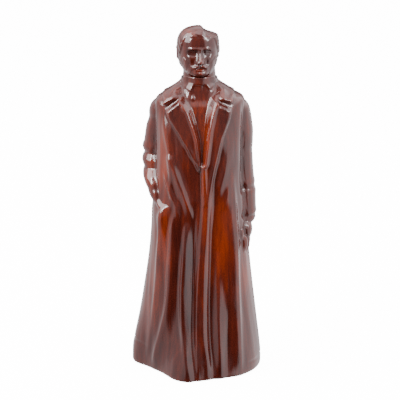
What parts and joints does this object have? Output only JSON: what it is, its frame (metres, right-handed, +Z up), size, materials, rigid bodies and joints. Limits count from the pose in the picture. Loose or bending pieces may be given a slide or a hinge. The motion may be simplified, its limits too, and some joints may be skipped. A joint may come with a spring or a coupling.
{
  "type": "figural decanter",
  "caption": "Porcelain decanter for spirits, cast as a standing man in a long open coat; his head lifts out as the stopper.",
  "frame": {"origin": "middle of the foot's bounding box, on the surface that the decanter stands on", "axes": "+Z up the figure, -Y where the figure faces, +X to the right of someone who looks at its face"},
  "size_m": [0.11, 0.0894, 0.29],
  "materials": {
    "body_glaze": "gloss",
    "stopper_glaze": "gloss"
  },
  "bodies": {
    "root": {"decanter_body": "body_glaze", "head_stopper": "stopper_glaze"}
  },
  "joints": []
}
